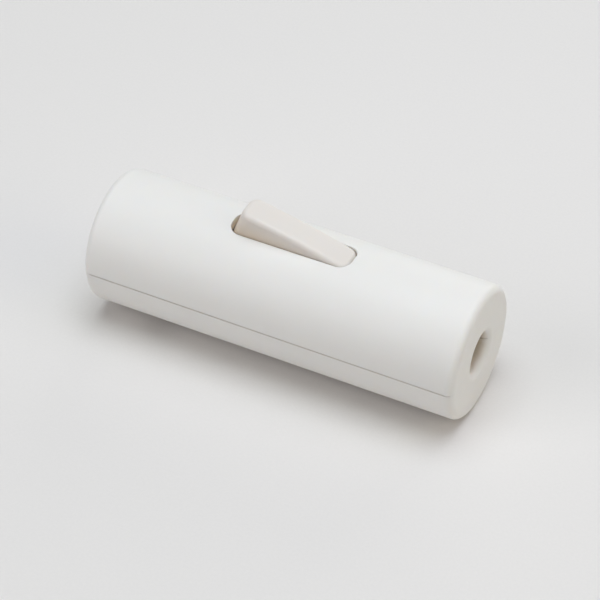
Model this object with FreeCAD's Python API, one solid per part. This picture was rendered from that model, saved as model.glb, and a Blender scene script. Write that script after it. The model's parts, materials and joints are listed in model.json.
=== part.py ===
import FreeCAD, Part
import math
import os

# In-line rocker switch for a flexible cord, in millimetres.
# A round tube-shaped housing is split along its axis into two shells. The cord runs
# in at one end and out at the other, and a rocker in a slot on top works a seesaw
# contact. +X runs along the tube, +Z is up, and the origin is under the middle of
# the tube, on the line where it rests. The rocker is modelled with its +X end
# pressed in, which leaves the contacts open.

# --- driving dimensions -------------------------------------------------------
body_length = 76.0
body_radius = 13.0
wall = 2.0                      # side wall of both shells
end_wall = 3.0                  # wall across each end
end_round = 1.5                 # rounding of the outer end edges
seam_gap = 0.13                 # open line between the two shells, along the sides
end_seam_gap = 0.015            # the same line across the end faces
seam_stop = 0.5                 # where the open line ends, before the end faces
cord_hole_radius = 3.85         # cord entry in each end
cord_hole_round = 1.5           # soft lip of the cord entry
tongue_height = 1.0             # tongue and groove along the seam
tongue_thickness = 0.9

slot_half_length = 12.3         # opening for the rocker
slot_half_width = 3.1
slot_corner = 2.4
slot_round = 0.15               # soft rim of the opening

rocker_half_length = 11.1       # at the top edge
rocker_top = 5.6                # top face above the pivot, at the middle
rocker_depth = 2.6              # skirt below the pivot
rocker_crown_radius = 170.0     # the top face is slightly convex
rocker_draft = 6.0              # lean of the end faces, degrees
rocker_corner = 1.85            # corner radius seen from above
rocker_round = 0.95             # soft edge round the top face
rocker_wall = 1.3               # moulded wall beside the hollows underneath
rocker_roof = 1.6               # moulded wall over those hollows
rocker_tilt = 14.0              # half of the rocker's swing, degrees
pivot_depth = 3.1               # pivot below the top of the tube
trunnion_radius = 1.1
trunnion_length = 1.8           # how far each trunnion stands out past the slot's side
cheek_half_length = 4.0         # ribs that hold the trunnions
cheek_depth = 1.5               # cheek below the trunnion
cheek_wall = 1.0                # cheek beyond the trunnion's end

barrel_wall = 0.85              # tube under the rocker that guides the plunger
barrel_roof = 2.0               # rocker left above the barrel's bore
plunger_radius = 1.2
plunger_length = 4.3            # from its back to the end of its round tip
plunger_reveal = 0.5            # centre of the round tip below the barrel's mouth
spring_wire = 0.36
spring_turns = 7.0

seesaw_tilt = 6.0               # half of the seesaw's swing, degrees
seesaw_half_length = 7.4
seesaw_half_width = 1.7
seesaw_plate = 0.8              # plate thickness
seesaw_plate_top = 1.5          # top of the plate above its own pivot
seesaw_hub_radius = 1.4
seesaw_pin_radius = 0.8
seesaw_pivot_height = 1.6       # seesaw pivot above the tube's axis
contact_offset = 6.0            # contact centres from the seesaw's pivot
contact_radius = 1.2
contact_thickness = 0.6
contact_shank = 0.6
bracket_half_length = 2.2
bracket_ear_radius = 1.6
rivet_radius = 0.7
rivet_head_radius = 1.2
rivet_head = 0.5
pin_overhang = 0.3              # seesaw pin past each ear

carrier_drop = 5.2              # top of the insulating carrier below the tube's axis
carrier_plate = 1.8
carrier_rib = 1.5               # cross ribs of the lower shell under the carrier
lane_wall = 0.8                 # partitions between the terminals
strip = 0.8                     # thickness of the brass strips
line_strip_width = 2.0
load_strip_width = 3.0
outer_strip_width = 1.6
outer_strip_inset = 0.67        # strip inside the outer face of its terminals
pedestal_half_width = 2.2       # block under the load terminal's shelf
stop_length = 1.8               # posts that the seesaw's -X end comes down on
stop_width = 1.45
post_half_length = 2.5          # posts under the rocker's trunnions

terminal_length = 6.4
terminal_width = 4.8
terminal_height = 5.6
terminal_round = 0.4
terminal_backed_off = 0.5       # screw heads above the terminals
partition_overlap = 2.0         # partitions past the terminals
wire_hole_radius = 1.5
wire_hole_height = 2.6          # wire hole above the carrier

clamp_length = 5.0
clamp_screw_offset = 6.3
clamp_split = 1.2               # clamp bar's underside above the tube's axis
clamp_top = 5.0                 # clamp bar's top above the tube's axis
clamp_half_width = 8.0
clamp_round = 0.8
saddle_margin = 0.6             # saddle wider than the clamp bar
cord_channel_radius = 3.8
cord_ridge = 0.3                # ridge that bites into the cord's jacket
cord_ridge_width = 0.8

post_y = 7.6                    # housing posts from the middle plane
post_radius = 2.5
counterbore_radius = 2.35
counterbore_wall = 0.85
counterbore_seat = 5.6          # height where the housing screw's head bears
peg_radius = 1.1
peg_height = 2.0

screw_shank = 1.1               # housing, clamp and terminal screws
screw_grip = 6.0                # length held by a post
housing_head = (2.1, 1.5)       # radius and height of each screw's head
clamp_head = (1.7, 1.3)
terminal_head = (1.8, 1.3)
carrier_head = (1.6, 1.1)
carrier_shank = 0.9
carrier_grip = 3.2
end_space = 0.4                 # hole past the tip of a screw
carrier_screw_x = 9.0
carrier_screw_y = 4.3
carrier_post_radius = 2.0

# --- fits and clearances ------------------------------------------------------
running_fit = 0.05              # radial, shafts that turn or slide
fixed_fit = 0.02                # radial, pins and screws that stay put
screw_clearance = 0.25          # radial, screws through a plain hole
loose_gap = 0.15                # between moulded parts that only locate each other
rocker_side_gap = 0.15          # rocker to the slot's long sides
trunnion_end_gap = 0.1
clamp_end_gap = 2.0             # clamp to the end wall
post_gap = 0.5                  # housing post to the clamp
carrier_end_gap = 0.7           # carrier to the housing posts
carrier_side_gap = 0.45         # carrier to the shell's wall
terminal_end_gap = 0.8          # terminal to the carrier's end
lane_gap = 0.35                 # terminal to the partition beside it
ear_gap = 0.4                   # seesaw to the bracket's ears
plunger_clearance = 0.12        # plunger tip over the seesaw at mid swing
contact_clearance = 0.12        # closed contacts
stop_clearance = 0.10           # seesaw over its stop
spring_seat = 0.02              # spring to the faces at its ends

# --- derived places -----------------------------------------------------------
half_length = body_length / 2
axis_z = body_radius
inner_radius = body_radius - wall
cavity_half_length = half_length - end_wall
tongue_reach = cavity_half_length - clamp_end_gap
clamp_x = cavity_half_length - clamp_end_gap - clamp_length / 2
post_x = clamp_x - clamp_length / 2 - post_gap - post_radius
carrier_half_length = post_x - post_radius - carrier_end_gap
terminal_x = carrier_half_length - terminal_end_gap - terminal_length / 2
carrier_top = axis_z - carrier_drop
carrier_bottom = carrier_top - carrier_plate
carrier_half_width = (
    math.sqrt(inner_radius**2 - (axis_z - carrier_bottom) ** 2) - carrier_side_gap
)
strip_top = carrier_top + strip
lane_wall_offset = terminal_width / 2 + lane_gap + lane_wall / 2
lane_offset = lane_wall_offset + lane_wall / 2 + lane_gap + terminal_width / 2
outer_strip_offset = (
    lane_offset + terminal_width / 2 - outer_strip_inset - outer_strip_width / 2
)

rocker_pivot_z = 2 * body_radius - pivot_depth
rocker_half_width = slot_half_width - rocker_side_gap
trunnion_reach = slot_half_width + trunnion_length
notch_radius = trunnion_radius + running_fit
notch_end = trunnion_reach + trunnion_end_gap
cheek_low = rocker_pivot_z - trunnion_radius - cheek_depth
bore_radius = plunger_radius + running_fit
bore_top = rocker_top - barrel_roof
barrel_radius = bore_radius + barrel_wall

seesaw_pivot_z = axis_z + seesaw_pivot_height
seesaw_plate_low = seesaw_plate_top - seesaw_plate
plunger_tip_centre = (
    rocker_pivot_z - seesaw_pivot_z - seesaw_plate_top - plunger_radius - plunger_clearance
)
plunger_back = plunger_tip_centre + plunger_radius - plunger_length
barrel_reach = plunger_tip_centre - plunger_reveal
bracket_inner_y = seesaw_half_width + ear_gap
bracket_outer_y = bracket_inner_y + strip
bracket_base_top = strip_top + strip
closed_drop = (contact_offset + contact_radius) * math.sin(math.radians(seesaw_tilt))
closed_rise = (seesaw_plate_low - contact_thickness) * math.cos(math.radians(seesaw_tilt))
fixed_contact_top = seesaw_pivot_z - closed_drop + closed_rise - contact_clearance
shelf_top = fixed_contact_top - contact_thickness
shelf_start = contact_offset - contact_radius - 0.3
shelf_end = contact_offset + contact_radius + 2.4

screw_posts = [(-post_x, -post_y), (post_x, post_y)]
peg_posts = [(-post_x, post_y), (post_x, -post_y)]
carrier_screw_places = [
    (-carrier_screw_x, carrier_screw_y),
    (carrier_screw_x, -carrier_screw_y),
]
clamp_screw_places = [
    (side * clamp_x, y) for side in (-1, 1) for y in (-clamp_screw_offset, clamp_screw_offset)
]
carrier_screw_tip = carrier_bottom - carrier_grip
AWAY = 200.0                    # longer than anything in the part


# --- shape helpers ------------------------------------------------------------
def vec(x, y, z):
    return FreeCAD.Vector(x, y, z)


def box(x0, x1, y0, y1, z0, z1):
    return Part.makeBox(x1 - x0, y1 - y0, z1 - z0, vec(x0, y0, z0))


def rod_x(radius, x0, x1, y=0.0, z=axis_z):
    return Part.makeCylinder(radius, x1 - x0, vec(x0, y, z), vec(1, 0, 0))


def rod_y(radius, y0, y1, x=0.0, z=0.0):
    return Part.makeCylinder(radius, y1 - y0, vec(x, y0, z), vec(0, 1, 0))


def rod_z(radius, z0, z1, x=0.0, y=0.0):
    return Part.makeCylinder(radius, z1 - z0, vec(x, y, z0), vec(0, 0, 1))


def joined(shapes):
    first = shapes[0]
    return first.multiFuse(shapes[1:]).removeSplitter()


def rounded_outline(half_x, half_y, radius, z):
    """Closed rectangle with round corners, level at height z."""
    edges = []
    corners = [(1, 1, 0), (-1, 1, 90), (-1, -1, 180), (1, -1, 270)]
    for sx, sy, start in corners:
        centre = vec(sx * (half_x - radius), sy * (half_y - radius), z)
        arc = Part.makeCircle(radius, centre, vec(0, 0, 1), start, start + 90)
        edges.append(arc)
    sides = []
    for index, arc in enumerate(edges):
        after = edges[(index + 1) % len(edges)]
        sides.append(Part.makeLine(arc.Vertexes[-1].Point, after.Vertexes[0].Point))
    ring = []
    for arc, side in zip(edges, sides):
        ring.append(arc)
        ring.append(side)
    return Part.Wire(ring)


def rounded_prism(half_x, half_y, radius, z0, z1):
    face = Part.Face(rounded_outline(half_x, half_y, radius, z0))
    return face.extrude(vec(0, 0, z1 - z0))


def circle_edges(shape, radius, at_x):
    """Circular edges of this radius in the planes x = at_x and x = -at_x."""
    found = []
    for edge in shape.Edges:
        centre = edge.BoundBox.Center
        flat = edge.BoundBox.XLength < 1e-4
        same_size = abs(edge.BoundBox.ZLength - 2 * radius) < 1e-3
        if flat and same_size and abs(abs(centre.x) - at_x) < 1e-3:
            found.append(edge)
    return found


def upright_edges(shape):
    """The straight vertical edges of a block."""
    return [edge for edge in shape.Edges if edge.BoundBox.ZLength > 1.0]


def vertical_screw(x, y, seat_z, tip_z, shank_radius, head_size):
    """Pan-head screw whose head bears at seat_z; it points up or down to tip_z."""
    head_radius, head_height = head_size
    way = 1 if tip_z < seat_z else -1
    crown = seat_z + way * head_height
    z0, z1 = sorted((seat_z, crown))
    head = rod_z(head_radius, z0, z1, x, y)
    rim = [edge for edge in head.Edges if abs(edge.BoundBox.Center.z - crown) < 1e-4]
    head = head.makeFillet(0.35 * head_height, [edge for edge in rim if edge.Closed])
    z0, z1 = sorted((seat_z, tip_z))
    solid = joined([head, rod_z(shank_radius, z0, z1, x, y)])
    reach = 0.6 * head_radius
    half_slot = 0.14 * head_radius
    z0, z1 = sorted((crown, crown - way * 0.55 * head_height))
    solid = solid.cut(box(x - reach, x + reach, y - half_slot, y + half_slot, z0, z1))
    return solid.cut(box(x - half_slot, x + half_slot, y - reach, y + reach, z0, z1))


def tilted(shape, degrees, pivot_z):
    """Turn a shape drawn about its own pivot and lift it to that pivot."""
    shape = shape.copy()
    shape.rotate(vec(0, 0, 0), vec(0, 1, 0), degrees)
    shape.translate(vec(0, 0, pivot_z))
    return shape


# --- housing ------------------------------------------------------------------
def housing_tube():
    """Both shells as one closed tube, with the cord entries in its ends."""
    tube = rod_x(body_radius, -half_length, half_length)
    tube = tube.makeFillet(end_round, circle_edges(tube, body_radius, half_length))
    tube = tube.cut(rod_x(inner_radius, -cavity_half_length, cavity_half_length))
    tube = tube.cut(rod_x(cord_hole_radius, -AWAY, AWAY))
    return tube.makeFillet(cord_hole_round, circle_edges(tube, cord_hole_radius, half_length))


def half_tube(side):
    """Upper or lower half of the tube; the open seam stops short of the end faces."""
    near = axis_z + side * end_seam_gap / 2
    z0, z1 = sorted((near, near + side * AWAY))
    half = housing_tube().common(box(-AWAY, AWAY, -AWAY, AWAY, z0, z1))
    reach = half_length - seam_stop
    z0, z1 = sorted((axis_z, axis_z + side * seam_gap / 2))
    return half.cut(box(-reach, reach, -AWAY, AWAY, z0, z1))


def within_wall(shape):
    """Trim a rib or post so that it ends inside the housing wall."""
    return shape.common(rod_x(body_radius - wall / 2, -half_length, half_length))


def seam_ring(inner, outer, z0, z1, reach):
    ring = rod_x(outer, -reach, reach).cut(rod_x(inner, -reach, reach))
    return ring.common(box(-AWAY, AWAY, -AWAY, AWAY, z0, z1))


def upper_shell():
    shell = half_tube(1)
    shell = shell.cut(
        rounded_prism(slot_half_length, slot_half_width, slot_corner, axis_z, AWAY)
    )
    parts = [soften_slot(shell)]
    for x, y in screw_posts + peg_posts:
        parts.append(within_wall(rod_z(post_radius, axis_z, 2 * body_radius, x, y)))
    for side in (-1, 1):
        parts.append(rocker_cheek(side))
    shell = joined(parts)
    groove = seam_ring(
        inner_radius - wall / 2,
        inner_radius + tongue_thickness + loose_gap,
        axis_z - tongue_height,
        axis_z + tongue_height + loose_gap,
        tongue_reach + loose_gap,
    )
    shell = shell.cut(groove)
    for x, y in screw_posts:
        top = axis_z + screw_grip + end_space
        shell = shell.cut(rod_z(screw_shank + fixed_fit, 0.0, top, x, y))
    for x, y in peg_posts:
        top = axis_z + peg_height + loose_gap
        shell = shell.cut(rod_z(peg_radius + loose_gap, 0.0, top, x, y))
    for side in (-1, 1):
        shell = shell.cut(trunnion_notch(side))
    return shell


def soften_slot(shell):
    """Round the outer rim of the rocker opening."""
    rim = []
    for edge in shell.Edges:
        middle = edge.BoundBox.Center
        point = edge.valueAt((edge.FirstParameter + edge.LastParameter) / 2)
        along = abs(middle.x) <= slot_half_length + 0.01
        across = abs(middle.y) <= slot_half_width + 0.01
        outside = abs(math.hypot(point.y, point.z - axis_z) - body_radius) < 0.01
        if along and across and outside and edge.BoundBox.XLength < body_length / 2:
            rim.append(edge)
    return shell.makeFillet(slot_round, rim)


def rocker_cheek(side):
    """Rib beside the opening that holds one of the rocker's trunnions."""
    y0, y1 = sorted((side * slot_half_width, side * (notch_end + cheek_wall)))
    return within_wall(
        box(-cheek_half_length, cheek_half_length, y0, y1, cheek_low, 2 * body_radius)
    )


def trunnion_notch(side):
    """Downward-open notch, round at its top, blind at its outer end."""
    y0, y1 = sorted((side * slot_half_width / 2, side * notch_end))
    seat = rod_y(notch_radius, y0, y1, 0.0, rocker_pivot_z)
    way_in = box(-notch_radius, notch_radius, y0, y1, cheek_low - 1.0, rocker_pivot_z)
    return seat.fuse(way_in)


def lower_shell():
    parts = [half_tube(-1)]
    parts.append(
        seam_ring(
            inner_radius,
            inner_radius + tongue_thickness,
            axis_z - tongue_height,
            axis_z + tongue_height,
            tongue_reach,
        )
    )
    for x, y in screw_posts:
        seat_radius = counterbore_radius + counterbore_wall
        seat_top = counterbore_seat + counterbore_wall
        parts.append(within_wall(rod_z(post_radius, 0.0, axis_z, x, y)))
        parts.append(within_wall(rod_z(seat_radius, 0.0, seat_top, x, y)))
    for x, y in peg_posts:
        parts.append(within_wall(rod_z(post_radius, 0.0, axis_z, x, y)))
        parts.append(rod_z(peg_radius, axis_z - peg_height, axis_z + peg_height, x, y))
    for x in (-terminal_x, 0.0, terminal_x):
        half = carrier_rib / 2
        parts.append(within_wall(box(x - half, x + half, -AWAY, AWAY, 0.0, carrier_bottom)))
    for x, y in carrier_screw_places:
        parts.append(within_wall(rod_z(carrier_post_radius, 0.0, carrier_bottom, x, y)))
    for side in (-1, 1):
        parts.append(clamp_saddle(side))
    shell = joined(parts)
    for side in (-1, 1):
        shell = shell.cut(cord_channel(side))
    for x, y in clamp_screw_places:
        low = axis_z - screw_grip - end_space
        shell = shell.cut(rod_z(screw_shank + fixed_fit, low, AWAY, x, y))
    for x, y in screw_posts:
        shell = shell.cut(rod_z(counterbore_radius, -1.0, counterbore_seat, x, y))
        shell = shell.cut(rod_z(screw_shank + screw_clearance, 0.0, AWAY, x, y))
    for x, y in carrier_screw_places:
        low = carrier_screw_tip - end_space / 2
        shell = shell.cut(rod_z(carrier_shank + fixed_fit, low, AWAY, x, y))
    return shell


def clamp_saddle(side):
    """Block across the lower shell that the cord lies in and the clamp bar sits on."""
    x0 = side * clamp_x - clamp_length / 2
    half_width = clamp_half_width + saddle_margin
    top = axis_z + clamp_split
    return within_wall(box(x0, x0 + clamp_length, -half_width, half_width, 0.0, top))


def cord_channel(side):
    """Round way for the cord through a clamp, with one ridge that grips the jacket."""
    x0 = side * clamp_x - clamp_length / 2 - 1.0
    x1 = side * clamp_x + clamp_length / 2 + 1.0
    near_ridge = side * clamp_x - cord_ridge_width / 2
    past_ridge = side * clamp_x + cord_ridge_width / 2
    first = rod_x(cord_channel_radius, x0, near_ridge)
    second = rod_x(cord_channel_radius, past_ridge, x1)
    through = rod_x(cord_channel_radius - cord_ridge, x0, x1)
    return joined([first, second, through])


# --- screws -------------------------------------------------------------------
def housing_screws():
    tip = axis_z + screw_grip
    screws = []
    for x, y in screw_posts:
        screws.append(vertical_screw(x, y, counterbore_seat, tip, screw_shank, housing_head))
    return Part.makeCompound(screws)


def carrier_screws():
    screws = []
    for x, y in carrier_screw_places:
        tip = carrier_screw_tip
        screws.append(vertical_screw(x, y, carrier_top, tip, carrier_shank, carrier_head))
    return Part.makeCompound(screws)


def cord_clamp_screws():
    seat = axis_z + clamp_top
    tip = axis_z - screw_grip
    screws = []
    for x, y in clamp_screw_places:
        screws.append(vertical_screw(x, y, seat, tip, screw_shank, clamp_head))
    return Part.makeCompound(screws)


def terminal_screws():
    """Screws backed off a little, with their tips just inside the wire holes."""
    tip = carrier_top + wire_hole_height + 0.8 * wire_hole_radius
    seat = carrier_top + terminal_height + terminal_backed_off
    screws = []
    for x in (-terminal_x, terminal_x):
        for y in (-lane_offset, 0.0, lane_offset):
            screws.append(vertical_screw(x, y, seat, tip, screw_shank, terminal_head))
    return Part.makeCompound(screws)


# --- cord clamps --------------------------------------------------------------
def cord_clamp(side):
    """Bar that is screwed down over the cord."""
    x0 = side * clamp_x - clamp_length / 2
    half = clamp_half_width
    bar = box(x0, x0 + clamp_length, -half, half, axis_z + clamp_split, axis_z + clamp_top)
    bar = bar.makeFillet(clamp_round, upright_edges(bar))
    bar = bar.cut(cord_channel(side))
    for x, y in clamp_screw_places:
        bar = bar.cut(rod_z(screw_shank + screw_clearance, 0.0, AWAY, x, y))
    return bar


# --- rocker and plunger -------------------------------------------------------
def rocker():
    """Rocker drawn level about its pivot, then tilted with its +X end down."""
    draft = math.tan(math.radians(rocker_draft))
    high = rocker_top + 1.0
    half_high = rocker_half_length - (high - rocker_top) * draft
    half_low = rocker_half_length + (rocker_top + rocker_depth) * draft
    low_ring = rounded_outline(half_low, rocker_half_width, rocker_corner, -rocker_depth)
    high_ring = rounded_outline(half_high, rocker_half_width, rocker_corner, high)
    body = Part.makeLoft([low_ring, high_ring], True, True)
    crown_z = rocker_top - rocker_crown_radius
    body = body.common(rod_y(rocker_crown_radius, -AWAY, AWAY, 0.0, crown_z))
    sag = rocker_half_length**2 / (2 * rocker_crown_radius)
    rim = [edge for edge in body.Edges if edge.BoundBox.ZMin > rocker_top - 2 * sag]
    body = body.makeFillet(rocker_round, rim)
    barrel = rod_z(barrel_radius, -barrel_reach, 0.0)
    trunnions = rod_y(trunnion_radius, -trunnion_reach, trunnion_reach)
    solid = joined([body, barrel, trunnions])
    for side in (-1, 1):
        solid = solid.cut(rocker_hollow(side))
    bore = rod_z(bore_radius, -barrel_reach - 1.0, bore_top)
    return tilted(solid.cut(bore), rocker_tilt, rocker_pivot_z)


def rocker_hollow(side):
    """Space moulded out of the rocker from below, on one side of the barrel."""
    near = side * (barrel_radius + rocker_wall)
    far = side * (rocker_half_length - rocker_wall)
    x0, x1 = sorted((near, far))
    half_width = rocker_half_width - rocker_wall
    return box(x0, x1, -half_width, half_width, -AWAY, rocker_top - rocker_roof)


def plunger():
    """Round-nosed plunger that the spring pushes out of the barrel."""
    shaft = rod_z(plunger_radius, -plunger_tip_centre, -plunger_back)
    nose = Part.makeSphere(plunger_radius, vec(0, 0, -plunger_tip_centre))
    return tilted(joined([shaft, nose]), rocker_tilt, rocker_pivot_z)


def plunger_spring():
    """Compression spring between the barrel's blind end and the plunger's back."""
    coil_radius = bore_radius - spring_wire / 2 - loose_gap
    low = -plunger_back + spring_wire / 2 + spring_seat
    high = bore_top - spring_wire / 2 - spring_seat
    helix = Part.makeHelix((high - low) / spring_turns, high - low, coil_radius)
    circle = Part.makeCircle(spring_wire / 2, vec(coil_radius, 0, 0), vec(0, 1, 0))
    coil = Part.Wire(helix.Edges).makePipeShell([Part.Wire([circle])], True, True)
    coil.translate(vec(0, 0, low))
    return tilted(coil, rocker_tilt, rocker_pivot_z)


# --- seesaw contact -----------------------------------------------------------
def contact_seesaw():
    """Brass plate on a hub, tilted with its -X end down."""
    corner = seesaw_half_width / 3
    plate = rounded_prism(
        seesaw_half_length, seesaw_half_width, corner, seesaw_plate_low, seesaw_plate_top
    )
    hub = rod_y(seesaw_hub_radius, -seesaw_half_width, seesaw_half_width)
    solid = joined([plate, hub])
    solid = solid.cut(rod_y(seesaw_pin_radius + running_fit, -AWAY, AWAY))
    solid = solid.cut(rod_z(contact_shank + fixed_fit, -AWAY, AWAY, contact_offset))
    return tilted(solid, -seesaw_tilt, seesaw_pivot_z)


def moving_contact():
    """Silver rivet under the seesaw's +X end."""
    low = seesaw_plate_low - contact_thickness
    head = rod_z(contact_radius, low, seesaw_plate_low, contact_offset)
    shank = rod_z(contact_shank, seesaw_plate_low, seesaw_plate_top, contact_offset)
    return tilted(joined([head, shank]), -seesaw_tilt, seesaw_pivot_z)


def fixed_contact():
    """Silver rivet on the load terminal's shelf."""
    head = rod_z(contact_radius, shelf_top, fixed_contact_top, contact_offset)
    shank = rod_z(contact_shank, shelf_top - strip, shelf_top, contact_offset)
    return joined([head, shank])


def seesaw_pin():
    reach = bracket_outer_y + pin_overhang
    return rod_y(seesaw_pin_radius, -reach, reach, 0.0, seesaw_pivot_z)


def pivot_bracket():
    """U-shaped bracket whose two ears hold the seesaw's pin."""
    outer = bracket_outer_y
    half = bracket_half_length
    ear = bracket_ear_radius
    parts = [box(-half, half, -outer, outer, strip_top, bracket_base_top)]
    for side in (-1, 1):
        y0, y1 = sorted((side * bracket_inner_y, side * outer))
        parts.append(box(-ear, ear, y0, y1, strip_top, seesaw_pivot_z))
        parts.append(rod_y(ear, y0, y1, 0.0, seesaw_pivot_z))
    bracket = joined(parts)
    pin_hole = rod_y(seesaw_pin_radius + fixed_fit, -AWAY, AWAY, 0.0, seesaw_pivot_z)
    bracket = bracket.cut(pin_hole)
    return bracket.cut(rod_z(rivet_radius + fixed_fit, 0.0, bracket_base_top))


def bracket_rivet():
    """Rivet that joins the bracket to the line terminal's strip."""
    shank = rod_z(rivet_radius, carrier_top, bracket_base_top)
    head = rod_z(rivet_head_radius, bracket_base_top, bracket_base_top + rivet_head)
    return joined([shank, head])


# --- terminals ----------------------------------------------------------------
def terminal_block(side, y):
    """Brass block that a wire goes into along X, before its holes are made."""
    x0 = side * terminal_x - terminal_length / 2
    half = terminal_width / 2
    top = carrier_top + terminal_height
    block = box(x0, x0 + terminal_length, y - half, y + half, carrier_top, top)
    return block.makeFillet(terminal_round, upright_edges(block))


def drilled(terminal, side, y):
    """Make the wire hole along X, and the threaded hole that meets it from above."""
    x = side * terminal_x
    reach = terminal_length / 2 + 1.0
    height = carrier_top + wire_hole_height
    terminal = terminal.cut(rod_x(wire_hole_radius, x - reach, x + reach, y, height))
    return terminal.cut(rod_z(screw_shank + fixed_fit, height, AWAY, x, y))


def line_terminal():
    """Terminal at the -X end, with the strip that runs under the pivot bracket."""
    half = line_strip_width / 2
    foot = bracket_half_length
    parts = [terminal_block(-1, 0.0)]
    parts.append(box(-terminal_x, 0.0, -half, half, carrier_top, strip_top))
    parts.append(box(-foot, foot, -foot, foot, carrier_top, strip_top))
    solid = drilled(joined(parts), -1, 0.0)
    return solid.cut(rod_z(rivet_radius + fixed_fit, 0.0, axis_z))


def load_terminal():
    """Terminal at the +X end, with the shelf that carries the fixed contact."""
    half = load_strip_width / 2
    riser_end = shelf_end + strip
    parts = [terminal_block(1, 0.0)]
    parts.append(box(shelf_end, terminal_x, -half, half, carrier_top, strip_top))
    parts.append(box(shelf_end, riser_end, -half, half, carrier_top, shelf_top))
    parts.append(box(shelf_start, riser_end, -half, half, shelf_top - strip, shelf_top))
    solid = drilled(joined(parts), 1, 0.0)
    return solid.cut(rod_z(contact_shank + fixed_fit, strip_top, AWAY, contact_offset))


def through_link(side):
    """Neutral or earth link: two terminals joined by a strip beside the middle."""
    y = side * lane_offset
    strip_y = side * outer_strip_offset
    half = outer_strip_width / 2
    parts = [box(-terminal_x, terminal_x, strip_y - half, strip_y + half, carrier_top, strip_top)]
    for end in (-1, 1):
        parts.append(terminal_block(end, y))
    link = joined(parts)
    for end in (-1, 1):
        link = drilled(link, end, y)
    return link


# --- insulating carrier -------------------------------------------------------
def contact_carrier():
    """Moulded plate for the metalwork, with posts that keep the rocker in place."""
    length = carrier_half_length
    width = carrier_half_width
    parts = [box(-length, length, -width, width, carrier_bottom, carrier_top)]
    partition_start = terminal_x - terminal_length / 2 - partition_overlap
    for end in (-1, 1):
        x0, x1 = sorted((end * partition_start, end * length))
        for side in (-1, 1):
            y = side * lane_wall_offset
            half = lane_wall / 2
            parts.append(box(x0, x1, y - half, y + half, carrier_bottom, axis_z))
    for side in (-1, 1):
        parts.append(trunnion_post(side))
        parts.append(seesaw_stop(side))
    half = pedestal_half_width
    parts.append(box(shelf_start, shelf_end, -half, half, carrier_bottom, shelf_top - strip))
    carrier = joined(parts)
    for x, y in carrier_screw_places:
        carrier = carrier.cut(rod_z(carrier_shank + screw_clearance, 0.0, axis_z, x, y))
    return carrier


def trunnion_post(side):
    """Post that closes one trunnion notch from below."""
    y0, y1 = sorted((side * (slot_half_width + 2 * loose_gap), side * notch_end))
    shoulder = cheek_low - 2 * loose_gap
    tip = rocker_pivot_z - trunnion_radius - running_fit
    half_tip = notch_radius - loose_gap
    post = box(-post_half_length, post_half_length, y0, y1, carrier_bottom, shoulder)
    return post.fuse(box(-half_tip, half_tip, y0, y1, carrier_top, tip))


def seesaw_stop(side):
    """Small post beside the line strip that the seesaw's -X end comes down on."""
    angle = math.radians(seesaw_tilt)
    drop = seesaw_half_length * math.sin(angle) - seesaw_plate_low * math.cos(angle)
    top = seesaw_pivot_z - drop - stop_clearance
    x0 = -seesaw_half_length - loose_gap
    near = side * (line_strip_width / 2 + loose_gap)
    y0, y1 = sorted((near, near + side * stop_width))
    return box(x0, x0 + stop_length, y0, y1, carrier_bottom, top)


# --- write one file per piece -------------------------------------------------
def main():
    pieces = {
        "upper_shell": upper_shell(),
        "lower_shell": lower_shell(),
        "housing_screws": housing_screws(),
        "contact_carrier": contact_carrier(),
        "carrier_screws": carrier_screws(),
        "rocker": rocker(),
        "plunger": plunger(),
        "plunger_spring": plunger_spring(),
        "contact_seesaw": contact_seesaw(),
        "seesaw_pin": seesaw_pin(),
        "moving_contact": moving_contact(),
        "fixed_contact": fixed_contact(),
        "pivot_bracket": pivot_bracket(),
        "bracket_rivet": bracket_rivet(),
        "line_terminal": line_terminal(),
        "load_terminal": load_terminal(),
        "neutral_link": through_link(1),
        "earth_link": through_link(-1),
        "terminal_screws": terminal_screws(),
        "cord_clamp_left": cord_clamp(-1),
        "cord_clamp_right": cord_clamp(1),
        "cord_clamp_screws": cord_clamp_screws(),
    }
    os.makedirs("parts", exist_ok=True)
    for name, shape in pieces.items():
        solids = shape.Solids
        if len(solids) == 1:
            shape = solids[0]
        shape.exportStep("parts/" + name + ".step")
        print(name, len(solids), round(shape.Volume, 2), shape.isValid())


main()
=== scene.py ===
import bpy
import json
import math
from mathutils import Matrix, Vector


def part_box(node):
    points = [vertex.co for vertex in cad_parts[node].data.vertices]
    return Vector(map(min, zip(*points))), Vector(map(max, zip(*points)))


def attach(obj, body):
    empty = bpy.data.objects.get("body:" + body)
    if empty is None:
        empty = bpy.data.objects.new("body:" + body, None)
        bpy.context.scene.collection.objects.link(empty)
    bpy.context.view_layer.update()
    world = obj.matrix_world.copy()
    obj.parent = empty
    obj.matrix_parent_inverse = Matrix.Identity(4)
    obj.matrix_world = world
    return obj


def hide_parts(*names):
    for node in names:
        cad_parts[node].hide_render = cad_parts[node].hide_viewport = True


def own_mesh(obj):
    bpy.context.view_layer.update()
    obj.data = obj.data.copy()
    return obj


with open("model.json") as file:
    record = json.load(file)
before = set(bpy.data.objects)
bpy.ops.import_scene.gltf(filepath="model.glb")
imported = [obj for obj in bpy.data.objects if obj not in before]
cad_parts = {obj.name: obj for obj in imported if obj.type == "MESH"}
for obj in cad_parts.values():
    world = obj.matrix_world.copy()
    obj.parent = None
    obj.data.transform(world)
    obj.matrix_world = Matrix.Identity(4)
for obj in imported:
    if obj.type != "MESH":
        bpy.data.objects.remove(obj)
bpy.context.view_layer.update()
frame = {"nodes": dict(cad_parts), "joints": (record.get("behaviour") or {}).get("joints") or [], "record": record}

# All lengths are in metres unless a comment says otherwise.

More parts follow.
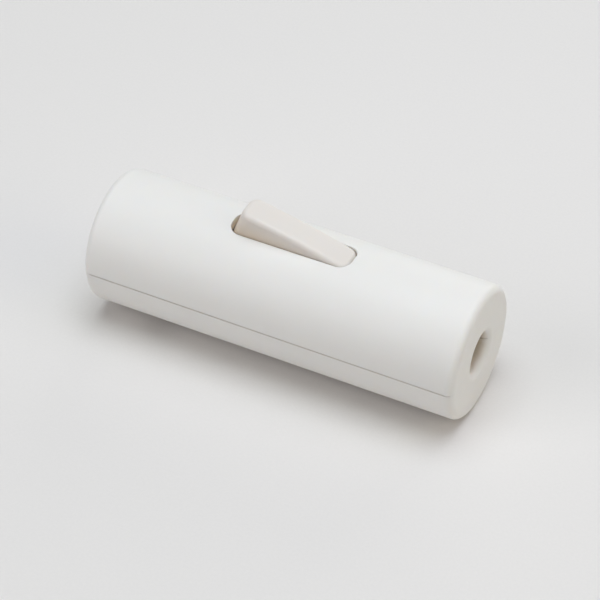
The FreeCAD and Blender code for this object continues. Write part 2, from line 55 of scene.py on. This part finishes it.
# --- places read from the frame -------------------------------------------------
shell_low, shell_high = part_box("upper_shell")
TUBE_RADIUS = (shell_high.y - shell_low.y) / 2
TUBE_HALF = (shell_high.x - shell_low.x) / 2
AXIS_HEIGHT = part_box("lower_shell")[0].z + TUBE_RADIUS
CENTRE = Vector((0, 0, AXIS_HEIGHT))
joints = {joint["name"]: joint for joint in frame["joints"]}
rocker_pivot = Vector(joints["rocker_swing"]["pos_m"])
ROCKER_REST_LEAN = math.radians(joints["rocker_swing"]["range_deg"][1] / 2)

# --- camera ---------------------------------------------------------------------
CAMERA_AZIMUTH = math.radians(26.65)
CAMERA_ELEVATION = math.radians(42.31)
CAMERA_DISTANCE = 35.37 * TUBE_RADIUS
CAMERA_LENS = 147.6             # millimetres
CAMERA_SENSOR = 36.0            # millimetres
CAMERA_NEAR = 0.01
CAMERA_FAR = 20.0
AIM_RIGHT = 0.0863 * TUBE_RADIUS
AIM_DOWN = 0.129 * TUBE_RADIUS

# --- stage ----------------------------------------------------------------------
FLOOR_SIZE = 6.0
FLOOR_COLOR = (0.782, 0.754, 0.728)
FLOOR_ROUGHNESS = 0.9
FLOOR_SPECULAR = 0.2
FIBRE_SCALE = 1800.0
FIBRE_DARK = 0.99               # share of the floor's colour at its darkest
FIBRE_LIGHT = 1.01              # and at its lightest
WORLD_COLOR = (0.975, 0.99, 1.0)
WORLD_STRENGTH = 0.175
LIGHTS = [
    # name, place, diameter, power in watts, colour
    ("overhead", (0, 0, 1.0), 0.8, 5.45, (0.877, 0.96, 0.995)),
    ("right_fill", (0.9, 0, 0.5), 0.8, 1.87, (1.0, 0.915, 0.70)),
    ("front_left_fill", (-0.6, -0.7, 0.6), 0.8, 3.15, (0.975, 0.96, 1.0)),
    ("low_back", (0, 1.0, 0.3), 0.8, 2.29, (1.0, 1.0, 0.957)),
    ("near_softbox", (0.15, 0.1, 0.45), 0.4, 0.48, (0.82, 0.82, 1.0)),
]

# --- parts of a noise's output that are stretched over a whole range --------------
MIDDLE = (0.3, 0.7)
NARROW_MIDDLE = (0.35, 0.65)
WIDE_MIDDLE = (0.2, 0.8)
UPPER_MIDDLE = (0.42, 0.72)

# --- plastics -------------------------------------------------------------------
PLASTIC_IOR = 1.49
TRANSLUCENCY = 0.2
SCATTER_SPREAD = (1.0, 0.75, 0.52)  # red, green and blue, in scatter depths
SCATTER_DEPTH = 0.0009
MOTTLE_SCALE = 55.0
SHEEN_SCALE = 420.0
SHEEN_SPREAD = (-0.05, 0.06)    # added to the roughness
SINK_SCALE = 90.0
SINK_STRENGTH = 0.25
SINK_DEPTH = 0.00006
GRAIN_STRENGTH = 0.35
SHELL_LOOK = {
    "name": "shell_white",
    "color": (0.834, 0.812, 0.776),
    "fade": 0.985,              # share of the colour left where the mottling is darkest
    "roughness": 0.48,
    "grain": 5200.0,            # scale of the grain's noise
    "depth": 0.000012,          # of the grain
}
ROCKER_LOOK = {
    "name": "rocker_white",
    "color": (0.772, 0.722, 0.672),
    "fade": 0.98,
    "roughness": 0.42,
    "grain": 6400.0,
    "depth": 0.000009,
}
CARRIER_LOOK = {
    "name": "carrier_grey",
    "color": (0.30, 0.31, 0.31),
    "fade": 0.86,
    "roughness": 0.5,
    "grain": 3600.0,
    "depth": 0.00002,
}
NYLON_LOOK = {
    "name": "plunger_nylon",
    "color": (0.72, 0.69, 0.60),
    "fade": 0.95,
    "roughness": 0.36,
    "grain": 4200.0,
    "depth": 0.00001,
}
NYLON_TRANSLUCENCY = 0.08
NYLON_SCATTER_DEPTH = 0.0006

# --- where the shells are tinted: painted warm shade inside, painted shade and dust along the seam ---
# painted warm shade on the walls inside the slot and the cord entry holes
INSIDE_SHADE_COLOR = (0.83, 0.73, 0.60)
# radii from the tube's axis
SLOT_TINT_STARTS = TUBE_RADIUS - 0.0003
SLOT_TINT_FULL = TUBE_RADIUS - 0.0012
SLOT_TINT_FADES = TUBE_RADIUS - 0.0016
SLOT_TINT_ENDS = TUBE_RADIUS - 0.0019
ENTRY_TINT_STARTS = 0.0056
ENTRY_TINT_FULL = 0.0052
# distances from the tube's middle, towards either end
FACE_TINT_STARTS = TUBE_HALF - 0.0004
FACE_TINT_FULL = TUBE_HALF - 0.002
SEAM_FAINT_FROM = TUBE_HALF - 0.0012
SEAM_PLAIN_FROM = TUBE_HALF - 0.0018
# distances above and below the plane where the shells meet
SEAM_TINT_STARTS = 0.00022
SEAM_TINT_FULL = 0.00006
# painted shade in the gap between the shells, mixed with dust
SEAM_SHADE_AND_DUST_COLOR = (0.56, 0.49, 0.41)
SEAM_FAINT = 0.05               # share of the painted seam shade and dust left across the end faces
DUST_AND_SHADE_SCALE = 700.0
DUST_AND_SHADE_AMOUNT = (0.4, 0.8)

# --- where painted warm shade darkens the rocker's skirt: heights over its pivot, along its own axis ---
SKIRT_SHADE_COLOR = (0.735, 0.62, 0.50)
SKIRT_TINT_STARTS = 0.0052
SKIRT_TINT_FULL = 0.0005

# --- metals ---------------------------------------------------------------------
STAIN_SCALE = 380.0
STAIN_AMOUNT = (0.0, 0.8)
STREAK_SHARE = 0.6              # of the unevenness of the gloss
STAIN_SHARE = 0.4
STREAK_STRENGTH = 0.3
METAL_GLOSS_SPREAD = (-0.08, 0.12)
BRASS_LOOK = {
    "name": "stamped_brass",
    "color": (0.80, 0.58, 0.27),
    "stain": (0.60, 0.40, 0.17),
    "roughness": 0.30,
    "grain": 900.0,
    "stretch": (1.0, 6.0, 6.0),
    "depth": 0.00001,
}
STEEL_LOOK = {
    "name": "zinc_steel",
    "color": (0.62, 0.62, 0.60),
    "stain": (0.47, 0.48, 0.47),
    "roughness": 0.34,
    "grain": 2400.0,
    "stretch": (1.0, 1.0, 0.2),
    "depth": 0.000008,
}
WIRE_LOOK = {
    "name": "spring_wire",
    "color": (0.55, 0.55, 0.54),
    "stain": (0.36, 0.36, 0.37),
    "roughness": 0.22,
    "grain": 3000.0,
    "stretch": (1.0, 1.0, 1.0),
    "depth": 0.000005,
}
SILVER_LOOK = {
    "name": "contact_silver",
    "color": (0.86, 0.85, 0.82),
    "stain": (0.66, 0.64, 0.60),
    "roughness": 0.25,
    "grain": 2600.0,
    "stretch": (1.0, 1.0, 1.0),
    "depth": 0.000006,
}

# --- plunger spring ---------------------------------------------------------------
SPRING_WIRE = 0.00036
SPRING_TURNS = 7
STEPS_PER_TURN = 24
CLOSED_PITCH = 1.1              # rise of an end turn, in wire diameters
WIRE_ROUNDNESS = 3              # Blender's bevel resolution


def make_camera():
    """Long lens, from above and in front on the right, aimed just off the tube's middle."""
    data = bpy.data.cameras.new("camera")
    data.lens = CAMERA_LENS
    data.sensor_width = CAMERA_SENSOR
    data.clip_start = CAMERA_NEAR
    data.clip_end = CAMERA_FAR
    camera = bpy.data.objects.new("camera", data)
    bpy.context.scene.collection.objects.link(camera)
    flat = math.cos(CAMERA_ELEVATION)
    back = Vector(
        (
            math.sin(CAMERA_AZIMUTH) * flat,
            -math.cos(CAMERA_AZIMUTH) * flat,
            math.sin(CAMERA_ELEVATION),
        )
    )
    right = Vector((0, 0, 1)).cross(back).normalized()
    up = back.cross(right)
    camera.location = CENTRE + back * CAMERA_DISTANCE
    aim = CENTRE + right * AIM_RIGHT - up * AIM_DOWN
    camera.rotation_mode = "QUATERNION"
    camera.rotation_quaternion = (aim - camera.location).to_track_quat("-Z", "Y")
    bpy.context.scene.camera = camera


def make_floor():
    """Matt, near-white backdrop with a faint fibre."""
    bpy.ops.mesh.primitive_plane_add(size=FLOOR_SIZE, location=(0, 0, 0))
    floor = bpy.context.object
    floor.name = "floor"
    recipe = Recipe("floor_paper", FLOOR_COLOR, FLOOR_ROUGHNESS)
    recipe.set("Specular IOR Level", FLOOR_SPECULAR)
    fibre = recipe.ranged(recipe.noise(FIBRE_SCALE, detail=3.0), MIDDLE)
    dark = times(FLOOR_COLOR, FIBRE_DARK)
    light = times(FLOOR_COLOR, FIBRE_LIGHT)
    recipe.paint(recipe.tint(fibre, dark, light))
    floor.data.materials.append(recipe.material)


def make_lights():
    """Soft disks that all face the tube, and a dim even sky."""
    for name, place, diameter, power, color in LIGHTS:
        data = bpy.data.lights.new(name, "AREA")
        data.shape = "DISK"
        data.size = diameter
        data.energy = power
        data.color = color
        light = bpy.data.objects.new(name, data)
        bpy.context.scene.collection.objects.link(light)
        light.location = place
        light.rotation_mode = "QUATERNION"
        light.rotation_quaternion = (CENTRE - Vector(place)).to_track_quat("-Z", "Y")
    world = bpy.data.worlds.new("studio")
    world.use_nodes = True
    sky = world.node_tree.nodes["Background"]
    sky.inputs["Color"].default_value = (*WORLD_COLOR, 1)
    sky.inputs["Strength"].default_value = WORLD_STRENGTH
    bpy.context.scene.world = world
    bpy.context.scene.view_settings.view_transform = "Standard"


# --- materials ------------------------------------------------------------------
class Recipe:
    """Small helper that grows one material's node tree around its shader."""

    def __init__(self, name, color, roughness, metallic=0.0):
        self.material = bpy.data.materials.new(name)
        self.material.use_nodes = True
        self.tree = self.material.node_tree
        self.shader = self.tree.nodes["Principled BSDF"]
        self.set("Base Color", (*color, 1))
        self.set("Roughness", roughness)
        self.set("Metallic", metallic)
        self.coords = self.node("ShaderNodeTexCoord").outputs["Object"]

    def set(self, socket, value):
        self.shader.inputs[socket].default_value = value

    def node(self, kind, **settings):
        made = self.tree.nodes.new(kind)
        for key, value in settings.items():
            setattr(made, key, value)
        return made

    def link(self, source, target):
        self.tree.links.new(source, target)

    def paint(self, color):
        self.link(color, self.shader.inputs["Base Color"])

    def uneven_gloss(self, pattern, roughness, spread):
        """Vary the roughness with a pattern, between the ends of the spread."""
        rough = self.ranged(pattern, MIDDLE, [roughness + change for change in spread])
        self.link(rough, self.shader.inputs["Roughness"])

    def math(self, operation, first, second=None):
        made = self.node("ShaderNodeMath", operation=operation)
        for slot, value in zip(made.inputs, (first, second)):
            if value is None:
                continue
            if isinstance(value, (int, float)):
                slot.default_value = value
            else:
                self.link(value, slot)
        return made.outputs[0]

    def place(self):
        """Coordinates of the shaded point, one output for each axis."""
        made = self.node("ShaderNodeSeparateXYZ")
        self.link(self.coords, made.inputs[0])
        return made.outputs

    def stretched(self, scale):
        mapping = self.node("ShaderNodeMapping")
        mapping.inputs["Scale"].default_value = scale
        self.link(self.coords, mapping.inputs["Vector"])
        return mapping.outputs[0]

    def noise(self, scale, detail, rough=0.5, vector=None):
        made = self.node("ShaderNodeTexNoise")
        made.inputs["Scale"].default_value = scale
        made.inputs["Detail"].default_value = detail
        made.inputs["Roughness"].default_value = rough
        self.link(vector or self.coords, made.inputs["Vector"])
        return made.outputs["Fac"]

    def ranged(self, value, source, target=(0.0, 1.0)):
        """Map a value from the source range to the target range, and stop at its ends."""
        made = self.node("ShaderNodeMapRange", clamp=True)
        made.inputs["From Min"].default_value = source[0]
        made.inputs["From Max"].default_value = source[1]
        made.inputs["To Min"].default_value = target[0]
        made.inputs["To Max"].default_value = target[1]
        self.link(value, made.inputs["Value"])
        return made.outputs["Result"]

    def tint(self, factor, first, second):
        """Blend from one colour, or a colour socket, to another."""
        made = self.node("ShaderNodeMix", data_type="RGBA")
        self.link(factor, made.inputs[0])
        # a Mix node keeps its colour inputs after those for numbers and vectors
        for slot, value in ((made.inputs[6], first), (made.inputs[7], second)):
            if isinstance(value, tuple):
                slot.default_value = (*value, 1)
            else:
                self.link(value, slot)
        return made.outputs[2]

    def bumps(self, *layers):
        """Stack bump layers of (height, strength, distance in metres)."""
        normal = None
        for height, strength, distance in layers:
            bump = self.node("ShaderNodeBump")
            bump.inputs["Strength"].default_value = strength
            bump.inputs["Distance"].default_value = distance
            self.link(height, bump.inputs["Height"])
            if normal is not None:
                self.link(normal, bump.inputs["Normal"])
            normal = bump.outputs["Normal"]
        self.link(normal, self.shader.inputs["Normal"])


def times(color, factor):
    return tuple(channel * factor for channel in color)


def moulded(name, color, fade, roughness, grain, depth):
    """Injection-moulded plastic: faint mottling, uneven sheen, fine spark-eroded grain.

    The recipe keeps the mottled colour as its cloud, for a tint to start from.
    """
    recipe = Recipe(name, color, roughness)
    recipe.set("IOR", PLASTIC_IOR)
    recipe.set("Subsurface Weight", TRANSLUCENCY)
    recipe.set("Subsurface Radius", SCATTER_SPREAD)
    recipe.set("Subsurface Scale", SCATTER_DEPTH)
    mottle = recipe.ranged(recipe.noise(MOTTLE_SCALE, detail=3.0), NARROW_MIDDLE)
    recipe.cloud = recipe.tint(mottle, color, times(color, fade))
    recipe.paint(recipe.cloud)
    recipe.uneven_gloss(recipe.noise(SHEEN_SCALE, detail=4.0), roughness, SHEEN_SPREAD)
    recipe.bumps(
        (recipe.noise(SINK_SCALE, detail=1.0), SINK_STRENGTH, SINK_DEPTH),
        (recipe.noise(grain, detail=2.0, rough=0.6), GRAIN_STRENGTH, depth),
    )
    return recipe


def shell_plastic():
    """White housing plastic, with painted warm shade inside its slot and entry holes, and painted shade with dust
    along the line where the shells meet.
    """
    recipe = moulded(**SHELL_LOOK)
    place = recipe.place()
    height = recipe.math("SUBTRACT", place["Z"], AXIS_HEIGHT)
    across = recipe.math("MULTIPLY", place["Y"], place["Y"])
    rise = recipe.math("MULTIPLY", height, height)
    radius = recipe.math("SQRT", recipe.math("ADD", across, rise))
    along = recipe.math("ABSOLUTE", place["X"])

    # painted warm shade deep in the slot walls and the cord entry holes
    below_skin = recipe.ranged(radius, (SLOT_TINT_STARTS, SLOT_TINT_FULL))
    in_wall = recipe.ranged(radius, (SLOT_TINT_ENDS, SLOT_TINT_FADES))
    behind_face = recipe.ranged(along, (FACE_TINT_STARTS, FACE_TINT_FULL))
    slot_wall = recipe.math("MULTIPLY", recipe.math("MULTIPLY", below_skin, in_wall), behind_face)
    entry = recipe.ranged(radius, (ENTRY_TINT_STARTS, ENTRY_TINT_FULL))
    entry_wall = recipe.math("MULTIPLY", behind_face, entry)
    inside_shade = recipe.math("MAXIMUM", slot_wall, entry_wall)
    body = recipe.tint(inside_shade, recipe.cloud, INSIDE_SHADE_COLOR)

    # painted shade in the gap between the shells, mixed with patchy dust, along the parting line
    seam = recipe.ranged(recipe.math("ABSOLUTE", height), (SEAM_TINT_STARTS, SEAM_TINT_FULL))
    side = recipe.ranged(along, (SEAM_FAINT_FROM, SEAM_PLAIN_FROM), (SEAM_FAINT, 1.0))
    patches = recipe.ranged(recipe.noise(DUST_AND_SHADE_SCALE, detail=2.0), WIDE_MIDDLE, DUST_AND_SHADE_AMOUNT)
    seam_shade_and_dust = recipe.math("MULTIPLY", recipe.math("MULTIPLY", seam, patches), side)
    recipe.paint(recipe.tint(seam_shade_and_dust, body, SEAM_SHADE_AND_DUST_COLOR))
    return recipe.material


def rocker_plastic():
    """Warm white rocker, a little smoother than the housing, with painted warm shade down its skirt."""
    recipe = moulded(**ROCKER_LOOK)
    place = recipe.place()
    along = recipe.math("MULTIPLY", place["X"], math.sin(ROCKER_REST_LEAN))
    rise = recipe.math("SUBTRACT", place["Z"], rocker_pivot.z)
    level = recipe.math("ADD", along, recipe.math("MULTIPLY", rise, math.cos(ROCKER_REST_LEAN)))
    # painted warm shade, darker down the skirt that sits in the slot
    skirt_shade = recipe.ranged(level, (SKIRT_TINT_STARTS, SKIRT_TINT_FULL))
    recipe.paint(recipe.tint(skirt_shade, recipe.cloud, SKIRT_SHADE_COLOR))
    return recipe.material


def carrier_plastic():
    """Grey heat-resistant moulding with a slightly cloudy surface."""
    return moulded(**CARRIER_LOOK).material


def nylon():
    """Natural nylon, with less light spreading inside it than in the white plastics."""
    recipe = moulded(**NYLON_LOOK)
    recipe.set("Subsurface Weight", NYLON_TRANSLUCENCY)
    recipe.set("Subsurface Scale", NYLON_SCATTER_DEPTH)
    return recipe.material


def metal(name, color, stain, roughness, grain, stretch, depth):
    """Drawn, stamped or plated metal: stretched streaks, small stains, uneven gloss."""
    recipe = Recipe(name, color, roughness, metallic=1.0)
    streaks = recipe.noise(grain, detail=3.0, rough=0.65, vector=recipe.stretched(stretch))
    stains = recipe.noise(STAIN_SCALE, detail=4.0)
    stained = recipe.ranged(stains, UPPER_MIDDLE, STAIN_AMOUNT)
    recipe.paint(recipe.tint(stained, color, stain))
    streak_part = recipe.math("MULTIPLY", streaks, STREAK_SHARE)
    stain_part = recipe.math("MULTIPLY", stains, STAIN_SHARE)
    mixed = recipe.math("ADD", streak_part, stain_part)
    recipe.uneven_gloss(mixed, roughness, METAL_GLOSS_SPREAD)
    recipe.bumps((streaks, STREAK_STRENGTH, depth))
    return recipe.material


def dress(slot, material):
    """Give a material to every CAD node of one of the record's slots."""
    for entry in frame["record"]["subparts"]:
        if entry["material_slot"] == slot:
            for place in frame["nodes"][entry["node"]].material_slots:
                place.material = material


# --- plunger spring ---------------------------------------------------------------
def spring_reach(axis):
    """Lowest and highest place of the CAD spring along the axis, and its outer radius."""
    along = []
    radius = 0.0
    for vertex in frame["nodes"]["plunger_spring"].data.vertices:
        offset = vertex.co - rocker_pivot
        along.append(offset.dot(axis))
        radius = max(radius, (offset - axis * offset.dot(axis)).length)
    return min(along), max(along), radius


def coil_points(low, high, radius):
    """Helix from low to high along Z, with its first and last turns closed up."""
    points = []
    closed_rise = SPRING_WIRE * CLOSED_PITCH
    open_rise = (high - low - 2 * closed_rise) / (SPRING_TURNS - 2)
    for step in range(SPRING_TURNS * STEPS_PER_TURN + 1):
        turn = step / STEPS_PER_TURN
        open_turns = min(max(turn - 1, 0), SPRING_TURNS - 2)
        end_turns = min(turn, 1) + max(turn - (SPRING_TURNS - 1), 0)
        height = low + closed_rise * end_turns + open_rise * open_turns
        angle = 2 * math.pi * turn
        points.append((radius * math.cos(angle), radius * math.sin(angle), height))
    return points


def round_wire(points):
    """Mesh of a round wire with capped ends that follows the points."""
    curve = bpy.data.curves.new("coil_path", "CURVE")
    curve.dimensions = "3D"
    curve.bevel_depth = SPRING_WIRE / 2
    curve.bevel_resolution = WIRE_ROUNDNESS
    curve.use_fill_caps = True
    spline = curve.splines.new("POLY")
    spline.points.add(len(points) - 1)
    for slot, point in zip(spline.points, points):
        slot.co = (*point, 1)
    path = bpy.data.objects.new("coil_path", curve)
    mesh = bpy.data.meshes.new_from_object(path)
    bpy.data.objects.remove(path)
    bpy.data.curves.remove(curve)
    for face in mesh.polygons:
        face.use_smooth = True
    return mesh


def make_spring(material):
    """Coil spring with closed ends that rides with the rocker."""
    slide = joints["plunger_slide"]
    axis = Vector(slide["axis"]).normalized()
    low, high, reach = spring_reach(axis)
    half = SPRING_WIRE / 2
    mesh = round_wire(coil_points(low + half, high - half, reach - half))
    turn = Vector((0, 0, 1)).rotation_difference(axis).to_matrix().to_4x4()
    mesh.transform(Matrix.Translation(rocker_pivot) @ turn)
    mesh.materials.append(material)
    spring = bpy.data.objects.new("plunger_coil", mesh)
    bpy.context.scene.collection.objects.link(spring)
    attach(spring, "rocker")
    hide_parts("plunger_spring")
    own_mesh(spring)


make_camera()
make_floor()
make_lights()

spring_steel = metal(**WIRE_LOOK)
dress("shell_plastic", shell_plastic())
dress("rocker_plastic", rocker_plastic())
dress("carrier_plastic", carrier_plastic())
dress("plunger_plastic", nylon())
dress("brass", metal(**BRASS_LOOK))
dress("screw_steel", metal(**STEEL_LOOK))
dress("spring_steel", spring_steel)
dress("contact_silver", metal(**SILVER_LOOK))
make_spring(spring_steel)
